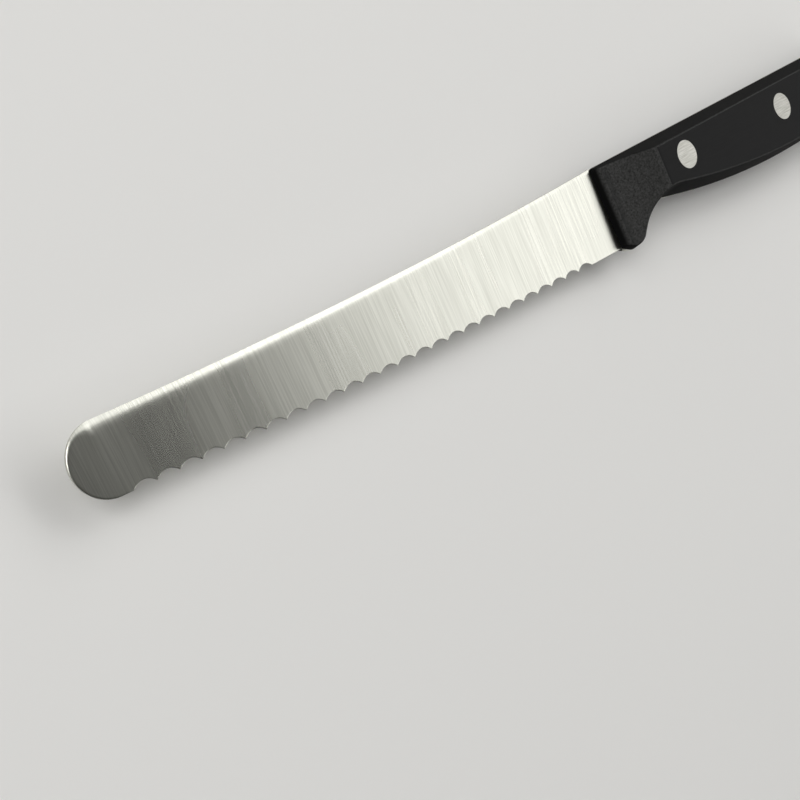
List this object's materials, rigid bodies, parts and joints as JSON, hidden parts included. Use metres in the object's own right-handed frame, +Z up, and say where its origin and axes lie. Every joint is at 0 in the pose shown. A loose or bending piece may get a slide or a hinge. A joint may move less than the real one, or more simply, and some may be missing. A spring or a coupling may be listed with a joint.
{
  "type": "tomato knife",
  "caption": "Round-nosed serrated kitchen knife with a full tang between two riveted black scales, lying on its right side.",
  "frame": {"origin": "centre of the bounding box on the surface that the knife's right side lies on", "axes": "+X from the blade towards the butt, +Y from the cutting edge towards the spine, +Z up out of the left side"},
  "size_m": [0.2614, 0.0232, 0.0156],
  "materials": {
    "blade_steel": "satin, ground across the blade",
    "handle_plastic": "matte, ground satin on the flats",
    "rivet_steel": "ground flush with the handle"
  },
  "bodies": {
    "root": {"blade_with_tang": "blade_steel", "left_handle_scale": "handle_plastic", "right_handle_scale": "handle_plastic", "front_rivet_left_half": "rivet_steel", "front_rivet_right_half": "rivet_steel", "middle_rivet_left_half": "rivet_steel", "middle_rivet_right_half": "rivet_steel", "rear_rivet_left_half": "rivet_steel", "rear_rivet_right_half": "rivet_steel"}
  },
  "joints": []
}
